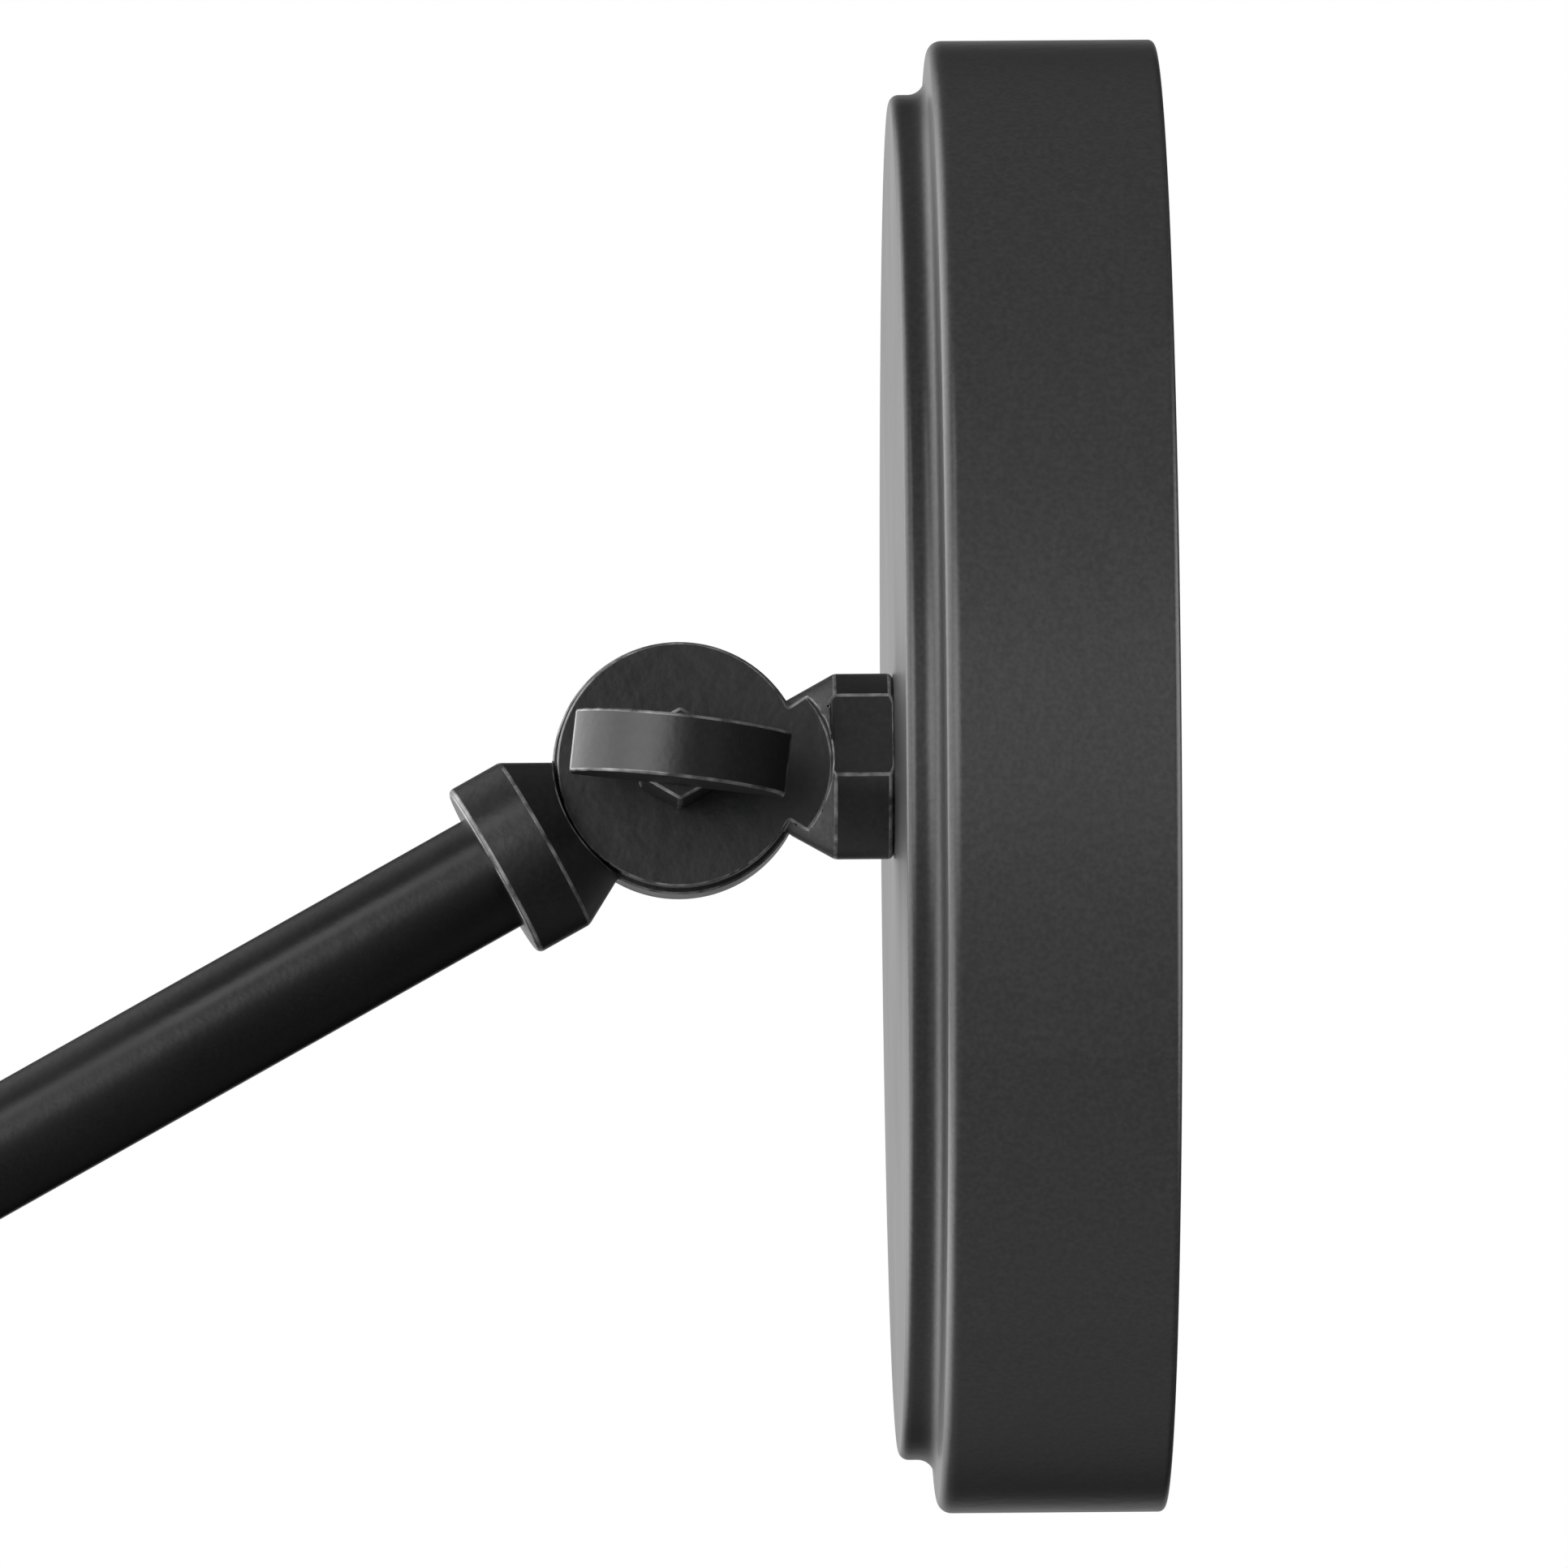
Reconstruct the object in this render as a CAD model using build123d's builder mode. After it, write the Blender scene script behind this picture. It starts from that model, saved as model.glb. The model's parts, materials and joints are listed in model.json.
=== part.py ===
"""Extendable shaving mirror: a round wall mirror on two tube arms with three clamp knuckles.

Millimetres. The origin is the centre of the wall face. +X points away from the wall, +Z is up.
Every knuckle turns about an axis parallel to Y, and its wing key is on the -Y side.
"""

from build123d import *
import math
import os

os.makedirs("parts", exist_ok=True)

# arms
tube_radius = 8.0
tube_wall = 1.5
arm_length = 230.0          # from pivot to pivot, the same for both arms
lower_arm_angle = -25.0     # degrees above the horizontal, at rest
upper_arm_angle = 29.55
head_angle = 0.5            # the mirror leans back a little

# knuckle halves
knuckle_reach = 28.35       # from the pivot to the end of the collar
collar_radius = 12.3
collar_length = 7.8         # straight part of the collar
collar_chamfer = 0.5
cone_tip_radius = 1.0       # of the neck's cone where it runs out inside the ear
neck_half_angle = 29.0      # degrees, of the cone from the collar down to the ear
socket_depth = 7.0          # how far a tube or a stud goes into a collar
near_ear_radius = 16.2
near_ear_thickness = 5.0
far_ear_radius = 16.8
far_ear_thickness = 8.0
ear_gap = 0.1               # between the two ears
ear_clearance = 0.4         # between an ear's rim and the other half's collar
pocket_radius = 13.5        # of the milled pocket in front of a collar
pocket_shift = 6.7          # from the pivot towards the collar
clear_size = 40.0           # of a cut that clears everything beyond an ear
cut_past = 1.0              # how far a cut goes past a face
flat_length = 8.4
flat_distance = 10.9        # of a wrench flat from the collar's axis
flat_tilt = 17.5            # degrees that the flats are turned from facing along Y

# clamp bolt and what is on it
bolt_radius = 3.0
bolt_head_radius = 7.5
bolt_head_height = 3.6
bolt_head_edge = 1.0
bolt_square = 7.0
bolt_square_length = 3.0
bolt_end_chamfer = 0.6
sleeve_radius = 4.5
running_clearance = 0.05
friction_washer_radius = 12.0
friction_washer_bore = 5.2
friction_washer_thickness = 1.2
washer_clearance = 0.2      # round a washer, and in its bore
spring_washer_radius = 5.0
spring_washer_thickness = 1.0
spring_washer_cone = 0.25   # how much its inner edge is lifted
spring_washer_lift = 0.05   # between it and the faces it lies between

# wing key
key_hub_radius = 6.2        # across the corners of the hexagon, halved
key_hub_height = 13.0
key_blade_half_length = 14.3
key_blade_thickness = 8.4
key_tip_height = 3.3
key_crown_height = 12.6
key_bolt_depth = 12.0       # how deep the bolt goes into the key
key_edge_rounding = 0.7
shoulder_key_angle = 38.0   # degrees above the horizontal, of each blade at rest
elbow_key_angle = -24.0
head_key_angle = -6.3

# mirror head
housing_radius = 97.5
housing_step_radius = 90.4
housing_step = 5.2
housing_depth = 35.2
housing_wall = 1.2
housing_drop = 1.5          # the housing hangs this much below its stud, in its clearance hole
glass_thickness = 4.0
glass_recess = 1.6          # of the glass behind the front lip
gasket_lip = 0.8
gasket_thickness = 0.8
gasket_edge_rounding = 0.3
fitting_gap = 0.05          # between pieces pushed into the housing
foam_thickness = 1.6
backing_thickness = 3.0
seat_width = 9.8
seat_leg = 9.0
seat_sheet = 1.2
backing_screw_count = 4
backing_screw_circle = 90.8
backing_screw_radius = 1.5
backing_screw_head_radius = 2.8
backing_screw_head_height = 1.6
backing_screw_length = 5.0
backing_margin = 0.3
foam_margin = 1.0
glass_bevel = 0.8
gasket_overlap = 1.2
stud_radius = 4.0
stud_hole_radius = 6.0
stud_washer_clearance = 0.1
stud_chamfer = 0.6
stud_inside = 14.0          # how far the stud stands inside the housing
stiffener_radius = 24.0
stiffener_thickness = 2.0
lock_washer_radius = 7.5
lock_washer_thickness = 1.6
stud_nut_flats = 13.0
stud_nut_height = 6.5

# spun cups: the mirror housing and the wall canopy
face_rounding = 1.3         # at the rim of the stepped face
shoulder_rounding = 1.9     # where the stepped wall turns into the side
cove_rounding = 2.3
lip_rounding = 0.9
step_draft = 0.6            # the stepped wall leans this much over its width

# wall mount
plate_radius = 53.0
plate_thickness = 3.0
plate_flange = 8.0
canopy_radius = 55.0
canopy_step_radius = 49.5
canopy_step = 4.6
canopy_depth = 20.0
canopy_wall = 1.5
canopy_gap = 0.3            # between the canopy and the turning collar
wall_screw_circle = 38.0
wall_screw_count = 3
wall_screw_hole_radius = 2.6
hub_radius = 15.0
hub_front = 14.0
hub_back = 9.0
hub_bore_radius = 10.5
swivel_radius = 5.0
bushing_radius = 7.0
swivel_end = 1.2
swivel_flange_radius = 9.5
swivel_flange_thickness = 1.8
swivel_spring_radius = 9.0
swivel_spring_thickness = 1.2
swivel_nut_flats = 16.0
swivel_nut_height = 5.0
canopy_hole_radius = 6.0
grub_screw_radius = 2.0
grub_screw_length = 5.0
grub_screw_sink = 0.3
grub_socket_radius = 1.1
grub_socket_depth = 2.0
grub_screw_angles = (-30.0, -150.0)


def direction(angle):
    """Unit vector in the XZ plane at an angle above +X."""
    return Vector(math.cos(math.radians(angle)), 0, math.sin(math.radians(angle)))


def link_plane(pivot, angle):
    """Plane at a pivot: its x along a link, its normal towards the wing key."""
    return Plane(origin=pivot, x_dir=direction(angle), z_dir=(0, -1, 0))


# pivots
collar_end_x = canopy_depth + canopy_gap
wall_pivot = Vector(collar_end_x + knuckle_reach, 0, 0)
elbow_pivot = wall_pivot + direction(lower_arm_angle) * arm_length
head_pivot = elbow_pivot + direction(upper_arm_angle) * arm_length


def write(builder, name):
    """Label a finished piece and write its STEP file."""
    builder.part.label = name
    export_step(builder.part, f"parts/{name}.step")


def side_plane(seat):
    """Plane that holds the seat's normal: radius along its x, height along its y."""
    return Plane(origin=seat.origin, x_dir=seat.x_dir, z_dir=-seat.y_dir)


def make_half(link, has_near_ear, bore_radius):
    """One half of a knuckle: an ear, a milled neck and a round collar, as one casting."""
    cone_start = knuckle_reach - collar_length
    cone_tip = cone_start - (collar_radius - cone_tip_radius) / math.tan(math.radians(neck_half_angle))
    near = ear_gap / 2
    with BuildPart() as half:
        with BuildSketch(side_plane(link)):
            with BuildLine():
                Polyline(
                    (cone_tip, 0),
                    (cone_tip, cone_tip_radius),
                    (cone_start, collar_radius),
                    (knuckle_reach, collar_radius),
                    (knuckle_reach, 0),
                    close=True,
                )
            make_face()
        revolve(axis=Axis(link.origin, link.x_dir))
        rims = half.edges().filter_by(GeomType.CIRCLE).sort_by(Axis(link.origin, link.x_dir))
        chamfer(rims[-1], collar_chamfer)
        # the ear side is milled down to the ear's face, and the other side clears the other ear
        front = near_ear_thickness + near
        back = far_ear_thickness + near
        clear_radius = (far_ear_radius if has_near_ear else near_ear_radius) + ear_clearance
        milled, open_side = (front, near) if has_near_ear else (-back, -near)
        with BuildSketch(link.offset(milled)):
            with Locations((pocket_shift, 0)):
                Circle(pocket_radius)
            with Locations((pocket_shift - clear_size / 2, 0)):
                Rectangle(clear_size, clear_size)
        extrude(amount=clear_size if has_near_ear else -clear_size, mode=Mode.SUBTRACT)
        with BuildSketch(link.offset(open_side)):
            Circle(clear_radius)
        extrude(amount=-clear_size if has_near_ear else clear_size, mode=Mode.SUBTRACT)
        # ear
        with BuildSketch(link.offset(open_side)):
            Circle(near_ear_radius if has_near_ear else far_ear_radius)
        extrude(amount=near_ear_thickness if has_near_ear else -far_ear_thickness)
        # socket for the tube or stud
        with BuildSketch(Plane(link.origin + link.x_dir * knuckle_reach, z_dir=link.x_dir)):
            Circle(bore_radius)
        extrude(amount=-socket_depth, mode=Mode.SUBTRACT)
        if has_near_ear:
            with BuildSketch(link):
                Circle(sleeve_radius)
            extrude(amount=near_ear_thickness + cut_past, mode=Mode.SUBTRACT)
            # two wrench flats on the collar
            for turn in (flat_tilt, flat_tilt + 180):
                across = math.radians(turn)
                normal = link.z_dir * math.cos(across) + link.y_dir * math.sin(across)
                flat = Plane(origin=link.origin, x_dir=link.x_dir, z_dir=normal)
                with BuildSketch(flat.offset(flat_distance)):
                    with Locations((knuckle_reach + (cut_past - flat_length) / 2, 0)):
                        Rectangle(flat_length + cut_past, 2 * collar_radius)
                extrude(amount=collar_radius, mode=Mode.SUBTRACT)
        else:
            with BuildSketch(link):
                Circle(bolt_radius)
            extrude(amount=-back, mode=Mode.SUBTRACT)
            with BuildSketch(link.offset(-back)):
                Rectangle(bolt_square, bolt_square)
            extrude(amount=bolt_square_length, mode=Mode.SUBTRACT)
            with BuildSketch(link.offset(-near)):
                Circle(friction_washer_radius + washer_clearance)
            extrude(amount=near - friction_washer_thickness, mode=Mode.SUBTRACT)
    return half


def make_sleeve(link):
    """Bronze sleeve pressed into a near ear, turning on the clamp bolt."""
    with BuildPart() as sleeve:
        with BuildSketch(link.offset(ear_gap / 2)):
            Circle(sleeve_radius)
            Circle(bolt_radius + running_clearance, mode=Mode.SUBTRACT)
        extrude(amount=near_ear_thickness)
    return sleeve


def make_clamp_bolt(link):
    """Dome-headed bolt: a square neck holds it in the far ear, and the wing key screws on it."""
    under_head = -(far_ear_thickness + ear_gap / 2)
    key_face = ear_gap / 2 + near_ear_thickness + spring_washer_thickness
    side = side_plane(link)
    dome_top = under_head - bolt_head_height
    dome_height = bolt_head_height - bolt_head_edge
    dome_radius = (bolt_head_radius**2 + dome_height**2) / (2 * dome_height)
    half_turn = math.asin(bolt_head_radius / dome_radius) / 2
    dome_base = under_head - bolt_head_edge
    dome_middle = dome_top + dome_radius * (1 - math.cos(half_turn))
    with BuildPart() as bolt:
        with BuildSketch(side):
            with BuildLine():
                Line((0, dome_top), (0, under_head))
                Line((0, under_head), (bolt_head_radius, under_head))
                Line((bolt_head_radius, under_head), (bolt_head_radius, dome_base))
                ThreePointArc(
                    (bolt_head_radius, dome_base),
                    (dome_radius * math.sin(half_turn), dome_middle),
                    (0, dome_top),
                )
            make_face()
        revolve(axis=Axis(link.origin, link.z_dir))
        with BuildSketch(link.offset(under_head)):
            Rectangle(bolt_square, bolt_square)
        extrude(amount=bolt_square_length)
        with BuildSketch(link.offset(under_head)):
            Circle(bolt_radius)
        extrude(amount=key_face + key_bolt_depth - under_head)
        end = bolt.faces().sort_by(Axis(link.origin, link.z_dir))[-1]
        chamfer(end.edges(), bolt_end_chamfer)
    return bolt


def make_friction_washer(link):
    """Fibre washer between the ears, lying in the far ear's recess."""
    with BuildPart() as washer:
        with BuildSketch(link.offset(-friction_washer_thickness)):
            Circle(friction_washer_radius)
            Circle(friction_washer_bore, mode=Mode.SUBTRACT)
        extrude(amount=friction_washer_thickness)
    return washer


def make_spring_washer(link):
    """Conical spring washer under the wing key."""
    base = ear_gap / 2 + near_ear_thickness + spring_washer_lift
    cone = spring_washer_cone
    sheet = spring_washer_thickness - 2 * spring_washer_lift - cone
    bore = bolt_radius + washer_clearance
    with BuildPart() as washer:
        with BuildSketch(side_plane(link)):
            with BuildLine():
                Polyline(
                    (bore, base + cone),
                    (spring_washer_radius, base),
                    (spring_washer_radius, base + sheet),
                    (bore, base + cone + sheet),
                    close=True,
                )
            make_face()
        revolve(axis=Axis(link.origin, link.z_dir))
    return washer


def make_wing_key(pivot, blade_angle):
    """Wing key: a hexagonal stem with an arched half-round blade across it."""
    blade_plane = link_plane(pivot, blade_angle)
    hub_base = ear_gap / 2 + near_ear_thickness + spring_washer_thickness
    blade_base = hub_base + key_hub_height
    # the sketch plane stands on edge: length along its x, height above the pivot along its y
    profile_plane = Plane(origin=pivot, x_dir=blade_plane.x_dir, z_dir=-blade_plane.y_dir)
    half = key_blade_half_length
    with BuildPart() as key:
        with BuildSketch(blade_plane.offset(hub_base)):
            RegularPolygon(key_hub_radius, 6, rotation=30 - blade_angle)
        extrude(amount=key_hub_height + cut_past)
        with BuildSketch(profile_plane):
            with BuildLine():
                Line((-half, blade_base + key_tip_height), (-half, blade_base))
                Line((-half, blade_base), (half, blade_base))
                Line((half, blade_base), (half, blade_base + key_tip_height))
                ThreePointArc(
                    (half, blade_base + key_tip_height),
                    (0, blade_base + key_crown_height),
                    (-half, blade_base + key_tip_height),
                )
            make_face()
        extrude(amount=key_blade_thickness / 2, both=True)
        blade_edges = key.edges().filter_by(GeomType.CIRCLE)
        fillet(blade_edges, key_edge_rounding)
        with BuildSketch(blade_plane.offset(hub_base)):
            Circle(bolt_radius + running_clearance)
        extrude(amount=key_bolt_depth + cut_past, mode=Mode.SUBTRACT)
    return key


def make_tube(start, angle):
    """Arm tube between the sockets of its two collars."""
    first = knuckle_reach - socket_depth
    length = arm_length - 2 * first
    with BuildPart() as tube:
        with BuildSketch(Plane(start + direction(angle) * first, z_dir=direction(angle))):
            Circle(tube_radius)
            Circle(tube_radius - tube_wall, mode=Mode.SUBTRACT)
        extrude(amount=length)
    return tube


def grub_plane(angle):
    """Plane through the wall plate's flange, its normal pointing out at an angle above +Y."""
    turn = math.radians(angle)
    return Plane((plate_flange / 2, 0, 0), x_dir=(1, 0, 0), z_dir=(0, math.cos(turn), math.sin(turn)))


def make_stepped_cup(seat, radius, step_radius, step, depth, wall, hole_radius):
    """Spun cup with a stepped face at the seat, open along the seat's normal."""
    axis = Axis(seat.origin, seat.z_dir)
    with BuildPart() as cup:
        with BuildSketch(side_plane(seat)) as outline:
            with BuildLine():
                Polyline(
                    (0, 0),
                    (step_radius, 0),
                    (step_radius, step - step_draft),
                    (radius, step),
                    (radius, depth),
                    (0, depth),
                    close=True,
                )
            make_face()
            face_rim, cove, shoulder, lip = outline.vertices().sort_by(Axis.X)[2:].sort_by(Axis.Y)
            fillet(face_rim, face_rounding)
            fillet(outline.vertices().sort_by_distance(shoulder)[0], shoulder_rounding)
            fillet(outline.vertices().sort_by_distance(cove)[0], cove_rounding)
            fillet(outline.vertices().sort_by_distance(lip)[0], lip_rounding)
        revolve(axis=axis)
        with BuildSketch(side_plane(seat)):
            with BuildLine():
                Polyline(
                    (0, wall),
                    (step_radius - wall, wall),
                    (step_radius - wall, step + wall),
                    (radius - wall, step + wall),
                    (radius - wall, depth),
                    (0, depth),
                    close=True,
                )
            make_face()
        revolve(axis=axis, mode=Mode.SUBTRACT)
        with BuildSketch(seat):
            Circle(hole_radius)
        extrude(amount=wall, mode=Mode.SUBTRACT)
    return cup


def make_ring(seat, inner, outer, low, high):
    """Plain ring or disc about the seat's normal, between two heights."""
    with BuildPart() as ring:
        with BuildSketch(seat.offset(low)):
            Circle(outer)
            if inner:
                Circle(inner, mode=Mode.SUBTRACT)
        extrude(amount=high - low)
    return ring


def make_hex_nut(seat, across_flats, bore, low, high):
    """Hexagonal nut about the seat's normal."""
    with BuildPart() as nut:
        with BuildSketch(seat.offset(low)):
            RegularPolygon(across_flats / 2, 6, major_radius=False)
            Circle(bore, mode=Mode.SUBTRACT)
        extrude(amount=high - low)
    return nut


# three knuckles: each far half is on the side of the wall, each near half on the side of the mirror
def write_knuckle(name, inner_link, outer_link, key_angle, inner_bore, outer_bore):
    """Make and write the seven pieces of one knuckle."""
    write(make_half(inner_link, False, inner_bore), f"{name}_far_half")
    write(make_half(outer_link, True, outer_bore), f"{name}_near_half")
    write(make_sleeve(outer_link), f"{name}_sleeve")
    write(make_clamp_bolt(inner_link), f"{name}_clamp_bolt")
    write(make_friction_washer(inner_link), f"{name}_friction_washer")
    write(make_spring_washer(inner_link), f"{name}_spring_washer")
    write(make_wing_key(inner_link.origin, key_angle), f"{name}_wing_key")


write_knuckle(
    "shoulder",
    link_plane(wall_pivot, 180),
    link_plane(wall_pivot, lower_arm_angle),
    shoulder_key_angle,
    swivel_radius,
    tube_radius,
)
write_knuckle(
    "elbow",
    link_plane(elbow_pivot, lower_arm_angle + 180),
    link_plane(elbow_pivot, upper_arm_angle),
    elbow_key_angle,
    tube_radius,
    tube_radius,
)
write_knuckle(
    "head",
    link_plane(head_pivot, upper_arm_angle + 180),
    link_plane(head_pivot, head_angle),
    head_key_angle,
    tube_radius,
    stud_radius,
)

write(make_tube(wall_pivot, lower_arm_angle), "lower_tube")
write(make_tube(elbow_pivot, upper_arm_angle), "upper_tube")

# mirror head: heights run from the housing's back face towards the glass
head_way = direction(head_angle)
stud_seat = Plane(head_pivot + head_way * knuckle_reach, x_dir=(0, 1, 0), z_dir=head_way)
head_seat = Plane(
    stud_seat.origin - stud_seat.y_dir * housing_drop, x_dir=(0, 1, 0), z_dir=head_way
)
inner_radius = housing_radius - housing_wall
glass_front = housing_depth - glass_recess
glass_back = glass_front - glass_thickness
foam_back = glass_back - foam_thickness
backing_back = foam_back - backing_thickness
seat_back = backing_back - seat_sheet
glass_radius = inner_radius - gasket_thickness
backing_radius = inner_radius - backing_margin

write(
    make_stepped_cup(
        head_seat,
        housing_radius,
        housing_step_radius,
        housing_step,
        housing_depth,
        housing_wall,
        stud_hole_radius,
    ),
    "mirror_housing",
)

with BuildPart() as seat_ring:
    with BuildSketch(head_seat.offset(seat_back)):
        Circle(inner_radius - fitting_gap)
        Circle(inner_radius - seat_width, mode=Mode.SUBTRACT)
    extrude(amount=seat_sheet)
    with BuildSketch(head_seat.offset(seat_back)):
        Circle(inner_radius - fitting_gap)
        Circle(inner_radius - fitting_gap - seat_sheet, mode=Mode.SUBTRACT)
    extrude(amount=-seat_leg)
    with BuildSketch(head_seat.offset(seat_back)):
        with PolarLocations(backing_screw_circle, backing_screw_count):
            Circle(backing_screw_radius)
    extrude(amount=seat_sheet, mode=Mode.SUBTRACT)
write(seat_ring, "seat_ring")

with BuildPart() as backing_disc:
    with BuildSketch(head_seat.offset(backing_back)):
        Circle(backing_radius)
        with PolarLocations(backing_screw_circle, backing_screw_count):
            Circle(backing_screw_radius, mode=Mode.SUBTRACT)
    extrude(amount=backing_thickness)
    with BuildSketch(head_seat.offset(foam_back)):
        with PolarLocations(backing_screw_circle, backing_screw_count):
            Circle(backing_screw_head_radius)
    extrude(amount=-backing_screw_head_height, mode=Mode.SUBTRACT)
write(backing_disc, "backing_disc")

with BuildPart() as backing_screws:
    with BuildSketch(head_seat.offset(foam_back)):
        with PolarLocations(backing_screw_circle, backing_screw_count):
            Circle(backing_screw_head_radius)
    extrude(amount=-backing_screw_head_height)
    with BuildSketch(head_seat.offset(foam_back - backing_screw_head_height)):
        with PolarLocations(backing_screw_circle, backing_screw_count):
            Circle(backing_screw_radius)
    extrude(amount=-backing_screw_length)
write(backing_screws, "backing_screws")

write(make_ring(head_seat, 0, glass_radius - foam_margin, foam_back, glass_back), "foam_pad")

with BuildPart() as mirror_glass:
    with BuildSketch(head_seat.offset(glass_back)):
        Circle(glass_radius - fitting_gap)
    extrude(amount=glass_thickness)
    front_edge = mirror_glass.faces().sort_by(Axis.X)[-1].edges()
    chamfer(front_edge, glass_bevel)
write(mirror_glass, "mirror_glass")

# rubber ring round the glass, with a lip over its front edge
with BuildPart() as glass_gasket:
    with BuildSketch(head_seat.offset(glass_back)):
        Circle(inner_radius - fitting_gap)
        Circle(glass_radius, mode=Mode.SUBTRACT)
    extrude(amount=glass_thickness + gasket_lip)
    with BuildSketch(head_seat.offset(glass_front)):
        Circle(inner_radius - fitting_gap)
        Circle(glass_radius - gasket_overlap, mode=Mode.SUBTRACT)
    extrude(amount=gasket_lip)
    fillet(glass_gasket.faces().sort_by(Axis.X)[-1].edges(), gasket_edge_rounding)
write(glass_gasket, "glass_gasket")

with BuildPart() as mounting_stud:
    with BuildSketch(stud_seat.offset(-socket_depth)):
        Circle(stud_radius)
    extrude(amount=socket_depth + stud_inside)
    chamfer(mounting_stud.faces().sort_by(Axis.X)[-1].edges(), stud_chamfer)
write(mounting_stud, "mounting_stud")

plate_top = housing_wall + stiffener_thickness
lock_top = plate_top + lock_washer_thickness
nut_top = lock_top + stud_nut_height
stud_bore = stud_radius + stud_washer_clearance
write(
    make_ring(stud_seat, stud_bore, stiffener_radius, housing_wall, plate_top),
    "stiffening_disc",
)
write(
    make_ring(stud_seat, stud_bore, lock_washer_radius, plate_top, lock_top),
    "lock_washer",
)
write(
    make_hex_nut(stud_seat, stud_nut_flats, stud_radius, lock_top, nut_top),
    "stud_nut",
)

# wall mount: heights run from the wall towards the room
wall_seat = Plane((0, 0, 0), x_dir=(0, 1, 0), z_dir=(1, 0, 0))
canopy_face = Plane((canopy_depth, 0, 0), x_dir=(0, 1, 0), z_dir=(-1, 0, 0))

with BuildPart() as wall_plate:
    with BuildSketch(wall_seat):
        Circle(plate_radius)
        with PolarLocations(wall_screw_circle, wall_screw_count, start_angle=90):
            Circle(wall_screw_hole_radius, mode=Mode.SUBTRACT)
    extrude(amount=plate_thickness)
    with BuildSketch(wall_seat.offset(plate_thickness)):
        Circle(plate_radius)
        Circle(plate_radius - plate_thickness, mode=Mode.SUBTRACT)
    extrude(amount=plate_flange - plate_thickness)
    with BuildSketch(wall_seat.offset(plate_thickness)):
        Circle(hub_radius)
    extrude(amount=hub_front - plate_thickness)
    with BuildSketch(wall_seat):
        Circle(hub_bore_radius)
    extrude(amount=hub_back, mode=Mode.SUBTRACT)
    with BuildSketch(wall_seat):
        Circle(bushing_radius)
    extrude(amount=hub_front, mode=Mode.SUBTRACT)
    for angle in grub_screw_angles:
        with BuildSketch(grub_plane(angle).offset(plate_radius - plate_thickness)):
            Circle(grub_screw_radius)
        extrude(amount=plate_thickness + cut_past, mode=Mode.SUBTRACT)
write(wall_plate, "wall_plate")

canopy_shell = make_stepped_cup(
    canopy_face,
    canopy_radius,
    canopy_step_radius,
    canopy_step,
    canopy_depth,
    canopy_wall,
    canopy_hole_radius,
)
with BuildPart() as canopy:
    add(canopy_shell.part)
    for angle in grub_screw_angles:
        with BuildSketch(grub_plane(angle).offset(plate_radius)):
            Circle(grub_screw_radius)
        extrude(amount=canopy_radius - plate_radius + cut_past, mode=Mode.SUBTRACT)
write(canopy, "canopy")

with BuildPart() as canopy_screws:
    for angle in grub_screw_angles:
        with BuildSketch(grub_plane(angle).offset(canopy_radius - grub_screw_length)):
            Circle(grub_screw_radius)
        extrude(amount=grub_screw_length - grub_screw_sink)
        with BuildSketch(grub_plane(angle).offset(canopy_radius - grub_screw_sink)):
            RegularPolygon(grub_socket_radius, 6)
        extrude(amount=-grub_socket_depth, mode=Mode.SUBTRACT)
write(canopy_screws, "canopy_screws")

write(
    make_ring(wall_seat, swivel_radius + running_clearance, bushing_radius, hub_back, hub_front),
    "swivel_bushing",
)

flange_back = hub_front + friction_washer_thickness + ear_gap
with BuildPart() as swivel_stud:
    with BuildSketch(wall_seat.offset(swivel_end)):
        Circle(swivel_radius)
    extrude(amount=collar_end_x + socket_depth - swivel_end)
    with BuildSketch(wall_seat.offset(flange_back)):
        Circle(swivel_flange_radius)
    extrude(amount=swivel_flange_thickness)
    chamfer(swivel_stud.faces().sort_by(Axis.X)[0].edges(), stud_chamfer)
write(swivel_stud, "swivel_stud")

swivel_bore = swivel_radius + washer_clearance
washer_base = hub_front + ear_gap / 2
washer_top = washer_base + friction_washer_thickness
write(
    make_ring(wall_seat, swivel_bore, swivel_flange_radius, washer_base, washer_top),
    "swivel_friction_washer",
)
spring_top = hub_back - ear_gap
spring_base = spring_top - swivel_spring_thickness
write(
    make_ring(wall_seat, swivel_bore, swivel_spring_radius, spring_base, spring_top),
    "swivel_spring_washer",
)
nut_base = spring_base - swivel_nut_height
write(
    make_hex_nut(wall_seat, swivel_nut_flats, swivel_radius, nut_base, spring_base),
    "swivel_nut",
)
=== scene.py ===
import json
import math

import bmesh
import bpy
from mathutils import Matrix, Vector


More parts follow.
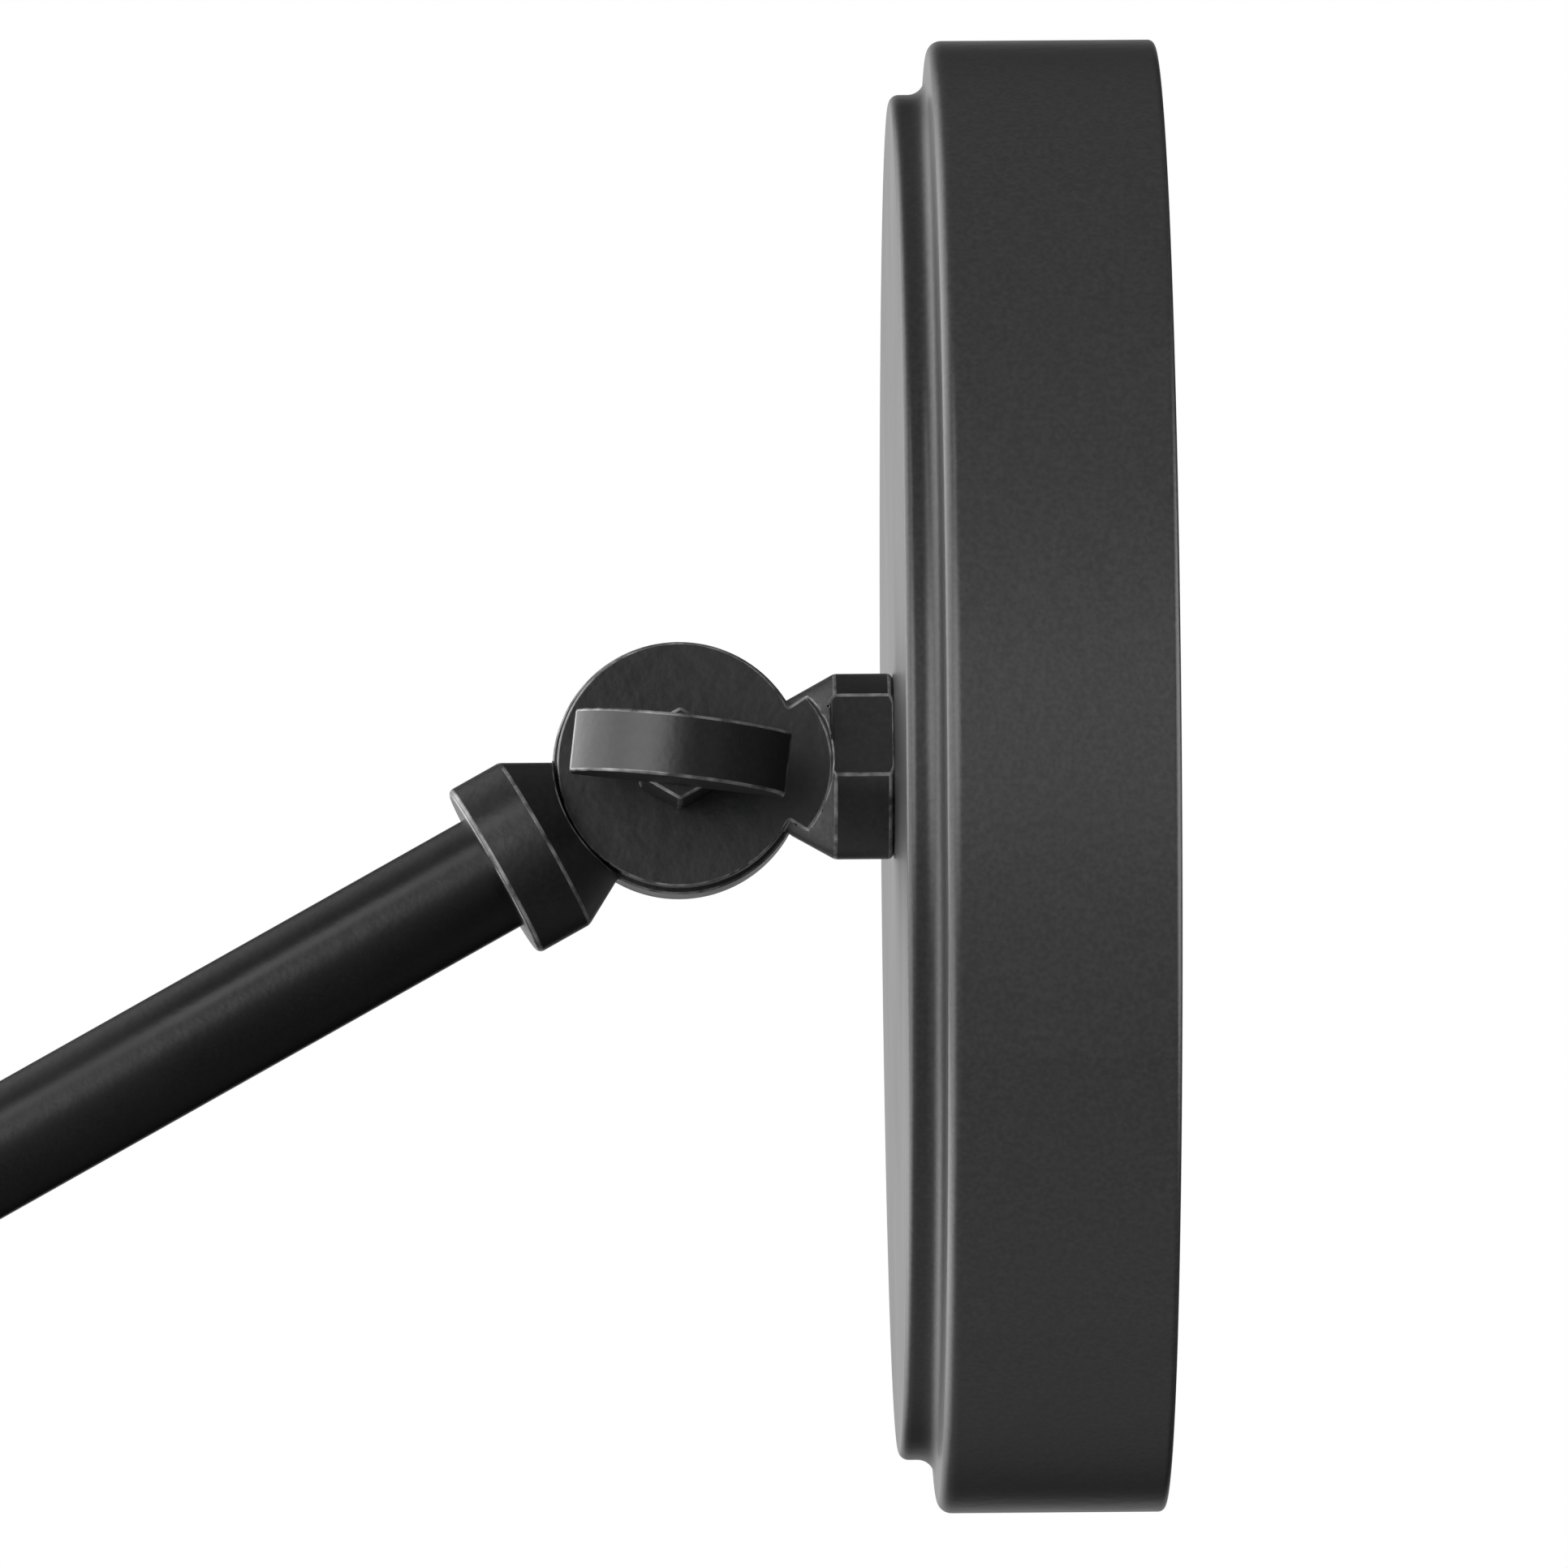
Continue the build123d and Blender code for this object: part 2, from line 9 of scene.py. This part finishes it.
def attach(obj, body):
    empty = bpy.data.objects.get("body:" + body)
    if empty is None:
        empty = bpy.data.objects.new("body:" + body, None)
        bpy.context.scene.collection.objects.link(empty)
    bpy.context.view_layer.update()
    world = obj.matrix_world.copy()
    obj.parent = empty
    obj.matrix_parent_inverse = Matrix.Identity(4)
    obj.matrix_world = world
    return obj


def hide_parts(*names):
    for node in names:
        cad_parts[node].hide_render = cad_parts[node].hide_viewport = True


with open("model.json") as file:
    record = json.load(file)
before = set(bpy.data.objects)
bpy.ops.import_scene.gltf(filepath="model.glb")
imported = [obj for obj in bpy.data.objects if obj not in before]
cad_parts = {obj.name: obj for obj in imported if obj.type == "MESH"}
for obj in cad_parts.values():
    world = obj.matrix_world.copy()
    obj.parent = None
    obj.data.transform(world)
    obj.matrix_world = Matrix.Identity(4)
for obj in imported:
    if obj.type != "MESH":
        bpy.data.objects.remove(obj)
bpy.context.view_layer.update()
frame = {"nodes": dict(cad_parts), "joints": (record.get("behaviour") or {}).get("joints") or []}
mm = 0.001


def jointPlace(name):
    return Vector(next(j["pos_m"] for j in frame["joints"] if j["name"] == name))


shoulderPivot = jointPlace("shoulder_tilt")
elbowPivot = jointPlace("elbow_fold")
headPivot = jointPlace("head_tilt")
print("frame: three pivots and", len(frame["nodes"]), "nodes")

camera = {                  # metres
    "distance": 3.0,        # from the arm's plane
    "aside": -0.0275,       # from the head knuckle
    "below": 0.2844,
    "aimAside": 0.0139,
    "aimBelow": 0.00213,
    "viewWidth": 0.20775,   # of the arm's plane that fits across the picture
    "sensor": 36,           # mm
    "sees": 50,             # how far
}


def addCamera():
    place = headPivot + Vector((camera["aside"], -camera["distance"], -camera["below"]))
    aim = headPivot + Vector((camera["aimAside"], 0, -camera["aimBelow"]))
    data = bpy.data.cameras.new("camera")
    data.sensor_width = camera["sensor"]
    data.lens = data.sensor_width * (aim - place).length / camera["viewWidth"]
    data.clip_end = camera["sees"]
    eye = bpy.data.objects.new("camera", data)
    eye.location = place
    eye.rotation_euler = (aim - place).to_track_quat("-Z", "Y").to_euler()
    bpy.context.scene.collection.objects.link(eye)
    bpy.context.scene.camera = eye


addCamera()
print("camera set")

# A glow brightens the room round one direction. It starts at the first cosine of the angle
# from that direction and is full at the second; the last number is how bright it is there.
studio = {
    "floorDrop": 0.75,      # below the wall mount
    "floorSize": 9.0,
    "floorColour": (0.80, 0.80, 0.79, 1),
    "floorRoughness": 0.8,
    "roomDark": 0.01,
    "wallBelow": 0.42,      # the pale room a sharp mirror shows, low down
    "wallAbove": 0.92,      # and high up
    "wallSpan": 0.55,       # how far up and down it goes on changing
    "glows": [
        ((-0.96, 0.26, 0.05), 0.45, 0.92, 3.20),    # broad window behind the wall mount
        ((-0.55, -0.83, 0.10), 0.86, 0.99, 4.30),   # soft box to the camera's left
        ((0.92, -0.39, 0.00), 0.72, 0.95, 4.20),    # window in front of the glass
        ((-0.10, -0.99, 0.00), 0.70, 1.00, 0.20),   # a little from the camera
        ((0.00, 0.99, 0.05), 0.93, 1.00, 0.88),     # backdrop
        ((-0.35, 0.00, 0.94), 0.30, 1.00, 0.12),    # ceiling
        ((-0.45, 0.00, -0.89), 0.30, 1.00, 0.40),   # ground
    ],
    "keyPower": 7,
    "keySize": 0.9,
    "keyPlace": (-1.17, -1.86, 2.05),
}


def addMapRange(tree, value, low, high, start, end, smooth=False):
    ramp = tree.nodes.new("ShaderNodeMapRange")
    if smooth:
        ramp.interpolation_type = "SMOOTHSTEP"
    ramp.inputs["From Min"].default_value = start
    ramp.inputs["From Max"].default_value = end
    ramp.inputs["To Min"].default_value = low
    ramp.inputs["To Max"].default_value = high
    tree.links.new(value, ramp.inputs["Value"])
    return ramp.outputs["Result"]


# the sum of all glows
def addGlows(tree, way):
    light = None
    for direction, start, full, strength in studio["glows"]:
        dot = tree.nodes.new("ShaderNodeVectorMath")
        dot.operation = "DOT_PRODUCT"
        dot.inputs[1].default_value = Vector(direction).normalized()
        tree.links.new(way, dot.inputs[0])
        glow = addMapRange(tree, dot.outputs["Value"], 0, strength, start, full, smooth=True)
        total = tree.nodes.new("ShaderNodeMath")
        total.operation = "ADD"
        total.inputs[1].default_value = studio["roomDark"]
        if light:
            tree.links.new(light, total.inputs[1])
        tree.links.new(glow, total.inputs[0])
        light = total.outputs[0]
    return light


def addRoom():
    world = bpy.data.worlds.new("studio")
    bpy.context.scene.world = world
    world.use_nodes = True
    tree = world.node_tree
    room = tree.nodes["Background"]
    way = tree.nodes.new("ShaderNodeTexCoord").outputs["Generated"]
    tree.links.new(addGlows(tree, way), room.inputs["Color"])
    # the glass shows a pale room, darker towards the ground
    height = tree.nodes.new("ShaderNodeSeparateXYZ")
    tree.links.new(way, height.inputs[0])
    span = studio["wallSpan"]
    up = height.outputs["Z"]
    shade = addMapRange(tree, up, studio["wallBelow"], studio["wallAbove"], -span, span, smooth=True)
    wall = tree.nodes.new("ShaderNodeBackground")
    tree.links.new(shade, wall.inputs["Color"])
    # what lies behind the object is plain white paper
    paper = tree.nodes.new("ShaderNodeBackground")
    paper.inputs["Color"].default_value = (1, 1, 1, 1)
    rays = tree.nodes.new("ShaderNodeLightPath")
    shown = room
    for ray, scenery in (("Is Singular Ray", wall), ("Is Camera Ray", paper)):
        mix = tree.nodes.new("ShaderNodeMixShader")
        tree.links.new(rays.outputs[ray], mix.inputs[0])
        tree.links.new(shown.outputs[0], mix.inputs[1])
        tree.links.new(scenery.outputs[0], mix.inputs[2])
        shown = mix
    tree.links.new(shown.outputs[0], tree.nodes["World Output"].inputs["Surface"])


def addFloor():
    drop = Vector((0, 0, -studio["floorDrop"]))
    bpy.ops.mesh.primitive_plane_add(size=studio["floorSize"], location=drop)
    floor = bpy.context.object
    floor.name = "floor"
    floor.visible_glossy = False
    floor.visible_diffuse = False
    material = bpy.data.materials.new("floorPaint")
    material.use_nodes = True
    shader = material.node_tree.nodes["Principled BSDF"]
    shader.inputs["Base Color"].default_value = studio["floorColour"]
    shader.inputs["Roughness"].default_value = studio["floorRoughness"]
    floor.data.materials.append(material)


def addKeyLight():
    data = bpy.data.lights.new("keyLight", "AREA")
    data.energy = studio["keyPower"]
    data.size = studio["keySize"]
    key = bpy.data.objects.new("keyLight", data)
    key.location = headPivot + Vector(studio["keyPlace"])
    key.rotation_euler = (headPivot - key.location).to_track_quat("-Z", "Y").to_euler()
    bpy.context.scene.collection.objects.link(key)


addRoom()
addFloor()
addKeyLight()
bpy.context.scene.view_settings.view_transform = "Standard"
print("studio set")


def newMaterial(name):
    material = bpy.data.materials.new(name)
    material.use_nodes = True
    tree = material.node_tree
    coords = tree.nodes.new("ShaderNodeTexCoord")
    return material, tree, tree.nodes["Principled BSDF"], coords.outputs["Object"]


def addNoise(tree, place, scale, detail, distortion=0.0):
    noise = tree.nodes.new("ShaderNodeTexNoise")
    noise.inputs["Scale"].default_value = scale
    noise.inputs["Detail"].default_value = detail
    noise.inputs["Distortion"].default_value = distortion
    tree.links.new(place, noise.inputs["Vector"])
    return noise.outputs["Fac"]


def addBlend(tree, value, first, second):
    blend = tree.nodes.new("ShaderNodeMix")
    blend.data_type = "RGBA"
    blend.inputs["A"].default_value = first
    blend.inputs["B"].default_value = second
    tree.links.new(value, blend.inputs["Factor"])
    return blend.outputs["Result"]


def addBump(tree, value, strength, distance, under=None):
    bump = tree.nodes.new("ShaderNodeBump")
    bump.inputs["Strength"].default_value = strength
    bump.inputs["Distance"].default_value = distance
    tree.links.new(value, bump.inputs["Height"])
    if under:
        tree.links.new(under, bump.inputs["Normal"])
    return bump.outputs["Normal"]


noiseSpan = (0.3, 0.7)      # where most of a noise's values lie
speckSpan = (0.35, 0.75)    # the part of the grain that shows as light specks
cloudDetail = 3
grainDetail = 2
fibreDetail = 4
fibreBend = 0.4


# sprayed black coat over metal
def makeCoat(name, look):
    material, tree, shader, place = newMaterial(name)
    cloud = addNoise(tree, place, look["cloudScale"], cloudDetail)
    grain = addNoise(tree, place, look["grainScale"], grainDetail)
    peel = addNoise(tree, place, look["peelScale"], grainDetail)
    speck = addMapRange(tree, grain, 0, 1, *speckSpan)
    gloss = addMapRange(tree, cloud, *look["roughness"], *noiseSpan)
    tree.links.new(addBlend(tree, speck, look["dark"], look["light"]), shader.inputs["Base Color"])
    tree.links.new(gloss, shader.inputs["Roughness"])
    shader.inputs["Specular IOR Level"].default_value = look["specular"]
    soft = addBump(tree, peel, look["peelStrength"], look["peelDepth"])
    rough = addBump(tree, grain, look["grainStrength"], look["grainDepth"], soft)
    tree.links.new(rough, shader.inputs["Normal"])
    return material


# one black coat in three copies, lighter or darker by piece to paint in how light falls on each
coats = {
    "litSatinCoat": {           # mirror housing, canopy and wall plate; the lightest copy of the one black coat, its lighter colour paints in light
        "dark": (0.0240, 0.0240, 0.0243, 1),
        "light": (0.0360, 0.0360, 0.0363, 1),
        "roughness": (0.30, 0.37),
        "specular": 0.50,
        "cloudScale": 22,
        "grainScale": 1500,
        "peelScale": 420,
        "grainStrength": 0.25,
        "grainDepth": 0.00008,
        "peelStrength": 0.22,
        "peelDepth": 0.0002,
    },
    "castCoat": {            # knuckles and wing keys; the middle copy of the same black coat
        "dark": (0.0090, 0.0090, 0.0095, 1),
        "light": (0.0150, 0.0150, 0.0155, 1),
        "roughness": (0.30, 0.40),
        "specular": 0.50,
        "cloudScale": 60,
        "grainScale": 1300,
        "peelScale": 380,
        "grainStrength": 0.25,
        "grainDepth": 0.00008,
        "peelStrength": 0.30,
        "peelDepth": 0.0002,
    },
    "paintedEdgeHighlight": {            # painted highlight: a much lighter coat on a casting's rounded edges, in place of the bright lines light gives there
        "dark": (0.040, 0.040, 0.041, 1),
        "light": (0.280, 0.280, 0.284, 1),
        "roughness": (0.22, 0.32),
        "specular": 0.70,
        "cloudScale": 300,
        "grainScale": 420,
        "peelScale": 380,
        "grainStrength": 0.20,
        "grainDepth": 0.00008,
        "peelStrength": 0.20,
        "peelDepth": 0.0002,
    },
    "shadedTubeCoat": {            # the two arm tubes; the darkest copy of the same black coat, its darker colour paints in shade
        "dark": (0.0020, 0.0020, 0.0022, 1),
        "light": (0.0042, 0.0042, 0.0044, 1),
        "roughness": (0.28, 0.35),
        "specular": 0.50,
        "cloudScale": 30,
        "grainScale": 1400,
        "peelScale": 300,
        "grainStrength": 0.18,
        "grainDepth": 0.00008,
        "peelStrength": 0.20,
        "peelDepth": 0.0002,
    },
}


# tone from one noise, roughness and relief from the other
def paint(tree, shader, cloud, grain, look):
    tone = addMapRange(tree, cloud, 0, 1, *noiseSpan)
    gloss = addMapRange(tree, grain, *look["roughness"], *noiseSpan)
    relief = addBump(tree, grain, look["grainStrength"], look["grainDepth"])
    tree.links.new(addBlend(tree, tone, look["dark"], look["light"]), shader.inputs["Base Color"])
    tree.links.new(gloss, shader.inputs["Roughness"])
    tree.links.new(relief, shader.inputs["Normal"])


# bare or plated metal with fine turning marks
def makeMetal(name, look):
    material, tree, shader, place = newMaterial(name)
    grain = addNoise(tree, place, look["grainScale"], cloudDetail)
    cloud = addNoise(tree, place, look["cloudScale"], cloudDetail)
    paint(tree, shader, cloud, grain, look)
    shader.inputs["Metallic"].default_value = look["metallic"]
    return material


metals = {
    "zincSteel": {
        "dark": (0.52, 0.53, 0.55, 1),
        "light": (0.68, 0.69, 0.71, 1),
        "roughness": (0.24, 0.38),
        "metallic": 1.0,
        "grainScale": 900,
        "cloudScale": 120,
        "grainStrength": 0.15,
        "grainDepth": 0.00005,
    },
    "blackSteel": {
        "dark": (0.020, 0.020, 0.021, 1),
        "light": (0.040, 0.040, 0.042, 1),
        "roughness": (0.28, 0.40),
        "metallic": 0.6,
        "grainScale": 900,
        "cloudScale": 150,
        "grainStrength": 0.15,
        "grainDepth": 0.00005,
    },
    "bronze": {
        "dark": (0.42, 0.26, 0.12, 1),
        "light": (0.60, 0.38, 0.18, 1),
        "roughness": (0.30, 0.48),
        "metallic": 1.0,
        "grainScale": 1100,
        "cloudScale": 200,
        "grainStrength": 0.25,
        "grainDepth": 0.00005,
    },
    "silvered": {            # the back-silvered glass
        "dark": (0.86, 0.88, 0.88, 1),
        "light": (0.92, 0.93, 0.93, 1),
        "roughness": (0.0010, 0.0030),
        "metallic": 1.0,
        "grainScale": 40,
        "cloudScale": 12,
        "grainStrength": 0.004,
        "grainDepth": 0.00002,
    },
}


# board, foam and rubber: two tones and a rough grain
def makePlain(name, look):
    material, tree, shader, place = newMaterial(name)
    squeeze = tree.nodes.new("ShaderNodeMapping")
    squeeze.inputs["Scale"].default_value = look["stretch"]
    tree.links.new(place, squeeze.inputs["Vector"])
    fibres = squeeze.outputs["Vector"]
    grain = addNoise(tree, fibres, look["grainScale"], fibreDetail, fibreBend)
    paint(tree, shader, grain, grain, look)
    return material


plains = {
    "fibre": {
        "dark": (0.16, 0.045, 0.022, 1),
        "light": (0.28, 0.085, 0.040, 1),
        "roughness": (0.55, 0.75),
        "stretch": (1, 3, 1),
        "grainScale": 700,
        "grainStrength": 0.35,
        "grainDepth": 0.0001,
    },
    "hardboard": {
        "dark": (0.14, 0.080, 0.042, 1),
        "light": (0.26, 0.155, 0.085, 1),
        "roughness": (0.60, 0.80),
        "stretch": (1, 1, 2.5),
        "grainScale": 420,
        "grainStrength": 0.4,
        "grainDepth": 0.0002,
    },
    "foam": {
        "dark": (0.05, 0.05, 0.052, 1),
        "light": (0.11, 0.11, 0.112, 1),
        "roughness": (0.85, 0.95),
        "stretch": (1, 1, 1),
        "grainScale": 900,
        "grainStrength": 0.7,
        "grainDepth": 0.0003,
    },
    "rubber": {
        "dark": (0.010, 0.010, 0.010, 1),
        "light": (0.018, 0.018, 0.018, 1),
        "roughness": (0.55, 0.70),
        "stretch": (1, 1, 1),
        "grainScale": 800,
        "grainStrength": 0.25,
        "grainDepth": 0.0001,
    },
}

materials = {}
for name, look in coats.items():
    materials[name] = makeCoat(name, look)
for name, look in metals.items():
    materials[name] = makeMetal(name, look)
for name, look in plains.items():
    materials[name] = makePlain(name, look)
print("materials made:", len(materials))


def newPiece(name, mesh):
    piece = bpy.data.objects.new(name, mesh)
    bpy.context.scene.collection.objects.link(piece)
    return piece


# the modifiers' result becomes the mesh
def applyModifiers(piece):
    graph = bpy.context.evaluated_depsgraph_get()
    mesh = bpy.data.meshes.new_from_object(piece.evaluated_get(graph))
    piece.modifiers.clear()
    old = piece.data
    piece.data = mesh
    bpy.data.meshes.remove(old)


guardLoop = 0.12            # distance from a bend, as a part of its rounding
fewestBends = 3


# points of a closed outline; a corner is (radius, height, rounding)
def roundedLine(corners, step):
    points = []
    count = len(corners)
    for i, (r, h, rounding) in enumerate(corners):
        here = Vector((r, h))
        before = Vector(corners[i - 1][:2])
        after = Vector(corners[(i + 1) % count][:2])
        if not rounding:
            points.append(here)
            continue
        toBefore = (before - here).normalized()
        toAfter = (after - here).normalized()
        half = toBefore.angle(toAfter) / 2
        reach = rounding / math.tan(half)
        centre = here + (toBefore + toAfter).normalized() * rounding / math.sin(half)
        start = here + toBefore * reach - centre
        turn = start.angle_signed(here + toAfter * reach - centre)
        bends = max(fewestBends, round(abs(math.degrees(turn)) / step))
        # one more loop just before and after the bend keeps the flats flat
        guard = rounding * guardLoop
        points.append(centre + start + toBefore * guard)
        for k in range(bends + 1):
            angle = turn * k / bends
            points.append(centre + Matrix.Rotation(-angle, 2) @ start)
        points.append(here + toAfter * (reach + guard))
    return points


# turn a closed outline of (radius, height) about the seat's z axis
def spin(name, outline, seat, segments):
    form = bmesh.new()
    rings = []
    for k in range(segments):
        turned = seat @ Matrix.Rotation(2 * math.pi * k / segments, 4, "Z")
        rings.append([form.verts.new(turned @ (Vector((p.x, 0, p.y)) * mm)) for p in outline])
    count = len(outline)
    for k in range(segments):
        first, second = rings[k], rings[(k + 1) % segments]
        for i in range(count):
            j = (i + 1) % count
            form.faces.new((first[i], first[j], second[j], second[i]))
    bmesh.ops.recalc_face_normals(form, faces=form.faces)
    mesh = bpy.data.meshes.new(name)
    form.to_mesh(mesh)
    form.free()
    return newPiece(name, mesh)


mirrorHead = {              # millimetres and degrees
    "lean": 0.5,
    "reach": 28.35,         # from the knuckle's pivot to the back face
    "drop": 1.5,            # the housing hangs this much below its stud
    "radius": 97.5,
    "stepRadius": 90.4,
    "step": 5.2,
    "stepLean": 0.6,
    "depth": 35.2,
    "wall": 1.2,
    "holeRadius": 6.0,
    "faceRounding": 1.3,
    "coveRounding": 2.3,
    "shoulderRounding": 1.9,
    "lipRounding": 0.9,
    "lipInside": 0.27,
    "holeRounding": 0.15,
    "insideRounding": 0.5,
    "segments": 288,
    "bendStep": 9,          # degrees between two loops in a bend
    "sharpAngle": 28,
}


# where the housing sits: its back face, leaning a little and low on its stud
def headSeat():
    lean = math.radians(mirrorHead["lean"])
    axis = Vector((math.cos(lean), 0, math.sin(lean)))
    down = Vector((math.sin(lean), 0, -math.cos(lean)))
    origin = headPivot + (axis * mirrorHead["reach"] + down * mirrorHead["drop"]) * mm
    side = Vector((0, 1, 0))
    turn = Matrix((side, axis.cross(side), axis)).transposed()
    return Matrix.Translation(origin) @ turn.to_4x4()


# from the stud's hole over the stepped back to the lip, and back inside
def housingOutline():
    cup = mirrorHead
    wall = cup["wall"]
    inner = cup["radius"] - wall
    innerStep = cup["stepRadius"] - wall
    return roundedLine([
        (cup["holeRadius"], 0, cup["holeRounding"]),
        (cup["stepRadius"], 0, cup["faceRounding"]),
        (cup["stepRadius"], cup["step"] - cup["stepLean"], cup["coveRounding"]),
        (cup["radius"], cup["step"], cup["shoulderRounding"]),
        (cup["radius"], cup["depth"], cup["lipRounding"]),
        (inner, cup["depth"], cup["lipInside"]),
        (inner, cup["step"] + wall, cup["insideRounding"]),
        (innerStep, cup["step"] + wall, cup["insideRounding"]),
        (innerStep, wall, cup["insideRounding"]),
        (cup["holeRadius"], wall, cup["holeRounding"]),
    ], cup["bendStep"])


housing = spin("housingShell", housingOutline(), headSeat(), mirrorHead["segments"])
# the lighter copy of the black coat: painted light on the housing
housing.data.materials.append(materials["litSatinCoat"])
housing.data.shade_smooth()
housing.data.set_sharp_from_angle(angle=math.radians(mirrorHead["sharpAngle"]))
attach(housing, "mirror_head")
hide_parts("mirror_housing")
print("mirror housing spun")

castings = {                # millimetres and degrees
    "edge": 0.26,           # how far an edge is rounded
    "edgeAngle": 24,        # edges sharper than this are rounded
    "edgeSteps": 3,
    "smoothAngle": 40,
    "flatWeight": 80,       # how much the big flats decide the shading
    "weld": 0.02,           # points nearer than this become one
    "flatAngle": 0.4,       # faces flatter to each other than this become one
}


# round the sharp edges and paint a highlight on the rounding with a lighter coat
def breakEdges(piece, width):
    piece.data.materials.clear()
    for coat in ("castCoat", "paintedEdgeHighlight"):
        piece.data.materials.append(materials[coat])
    bevel = piece.modifiers.new("edges", "BEVEL")
    bevel.width = width * mm
    bevel.segments = castings["edgeSteps"]
    bevel.limit_method = "ANGLE"
    bevel.angle_limit = math.radians(castings["edgeAngle"])
    bevel.use_clamp_overlap = False
    bevel.miter_outer = "MITER_ARC"
    bevel.loop_slide = False
    # the rounded edges take the second material, the painted edge highlight
    bevel.material = 1
    applyModifiers(piece)
    piece.data.shade_smooth()
    piece.data.set_sharp_from_angle(angle=math.radians(castings["smoothAngle"]))
    level = piece.modifiers.new("level", "WEIGHTED_NORMAL")
    level.mode = "FACE_AREA_WITH_ANGLE"
    level.weight = castings["flatWeight"]
    level.keep_sharp = True
    applyModifiers(piece)


# the cast half as a clean mesh with rounded edges
def makeCasting(nodeName, pieceName, body):
    form = bmesh.new()
    form.from_mesh(frame["nodes"][nodeName].data)
    bmesh.ops.remove_doubles(form, verts=form.verts, dist=castings["weld"] * mm)
    bmesh.ops.dissolve_degenerate(form, dist=castings["weld"] * mm, edges=form.edges)
    bmesh.ops.dissolve_limit(
        form,
        angle_limit=math.radians(castings["flatAngle"]),
        verts=form.verts,
        edges=form.edges,
        delimit=set(),
    )
    mesh = bpy.data.meshes.new(pieceName)
    form.to_mesh(mesh)
    form.free()
    piece = newPiece(pieceName, mesh)
    breakEdges(piece, castings["edge"])
    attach(piece, body)
    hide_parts(nodeName)


wingKey = {                 # millimetres; heights are from the arm's middle plane
    "base": 6.05,
    "bladeBase": 19.05,
    "hubRadius": 6.2,
    "hubSides": 6,
    "halfLength": 14.3,
    "thickness": 8.4,
    "tipHeight": 3.3,
    "crownHeight": 12.6,
    "arcSteps": 44,
    "edge": 0.42,
    "angles": {"shoulder": 38.0, "elbow": -24.0, "head": -6.3},
}


# points of the arc from one tip over the crown to the other
def arcThrough(half, low, high, count):
    rise = high - low
    radius = (half * half + rise * rise) / (2 * rise)
    reach = math.asin(half / radius)
    turns = [reach * (1 - 2 * k / count) for k in range(count + 1)]
    return [(radius * math.sin(t), high - radius + radius * math.cos(t)) for t in turns]


# a closed outline in a plane, made into a solid between two heights
def extrudeOutline(form, outline, place, low, high):
    bottom = [form.verts.new(place(x, y, low)) for x, y in outline]
    top = [form.verts.new(place(x, y, high)) for x, y in outline]
    form.faces.new(bottom[::-1])
    form.faces.new(top)
    for i in range(len(outline)):
        j = (i + 1) % len(outline)
        form.faces.new((bottom[i], bottom[j], top[j], top[i]))


# a six-sided hub with an arched blade across it
def makeWingKey(name, pivot, body):
    key = wingKey
    turn = math.radians(key["angles"][name])
    along = Vector((math.cos(turn), 0, math.sin(turn)))
    across = Vector((-math.sin(turn), 0, math.cos(turn)))
    out = Vector((0, -1, 0))
    form = bmesh.new()
    corners = [2 * math.pi * (k + 0.5) / key["hubSides"] for k in range(key["hubSides"])]
    hub = [(key["hubRadius"] * math.cos(a), key["hubRadius"] * math.sin(a)) for a in corners]
    extrudeOutline(
        form,
        hub,
        lambda x, y, h: pivot + (Vector((x, 0, y)) + out * h) * mm,
        key["base"],
        key["bladeBase"] + key["tipHeight"] / 2,
    )
    half, base = key["halfLength"], key["bladeBase"]
    blade = [(-half, base), (half, base)]
    blade += arcThrough(half, base + key["tipHeight"], base + key["crownHeight"], key["arcSteps"])
    extrudeOutline(
        form,
        blade,
        lambda x, h, y: pivot + (along * x + out * h + across * y) * mm,
        -key["thickness"] / 2,
        key["thickness"] / 2,
    )
    bmesh.ops.recalc_face_normals(form, faces=form.faces)
    mesh = bpy.data.meshes.new(f"{name}WingKey")
    form.to_mesh(mesh)
    form.free()
    piece = newPiece(f"{name}WingKey", mesh)
    breakEdges(piece, key["edge"])
    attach(piece, body)
    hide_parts(f"{name}_wing_key")


# pivot, then the bodies of the far half, the near half and the key
knuckles = {
    "shoulder": (shoulderPivot, "wall_swivel", "lower_arm", "shoulder_key"),
    "elbow": (elbowPivot, "lower_arm", "upper_arm", "elbow_key"),
    "head": (headPivot, "upper_arm", "mirror_head", "head_key"),
}
for name, (pivot, inner, outer, keyBody) in knuckles.items():
    makeCasting(f"{name}_far_half", f"{name}FarCasting", inner)
    makeCasting(f"{name}_near_half", f"{name}NearCasting", outer)
    makeWingKey(name, pivot, keyBody)
print("knuckles made")

# what the remaining pieces are made of; those not named are zinc-plated steel
keepers = {
    # the lighter and darker copies of the black coat paint light and shade onto these pieces
    "litSatinCoat": ("canopy", "wall_plate"),
    "shadedTubeCoat": ("lower_tube", "upper_tube"),
    "blackSteel": ("canopy_screws", "shoulder_clamp_bolt", "elbow_clamp_bolt", "head_clamp_bolt"),
    "silvered": ("mirror_glass",),
    "bronze": ("shoulder_sleeve", "elbow_sleeve", "head_sleeve", "swivel_bushing"),
    "fibre": (
        "shoulder_friction_washer", "elbow_friction_washer", "head_friction_washer",
        "swivel_friction_washer",
    ),
    "hardboard": ("backing_disc",),
    "foam": ("foam_pad",),
    "rubber": ("glass_gasket",),
}
kept = {node: material for material, nodes in keepers.items() for node in nodes}
for name, node in frame["nodes"].items():
    material = materials[kept.get(name, "zincSteel")]
    for i in range(len(node.data.materials)):
        node.data.materials[i] = material
print("CAD pieces painted")
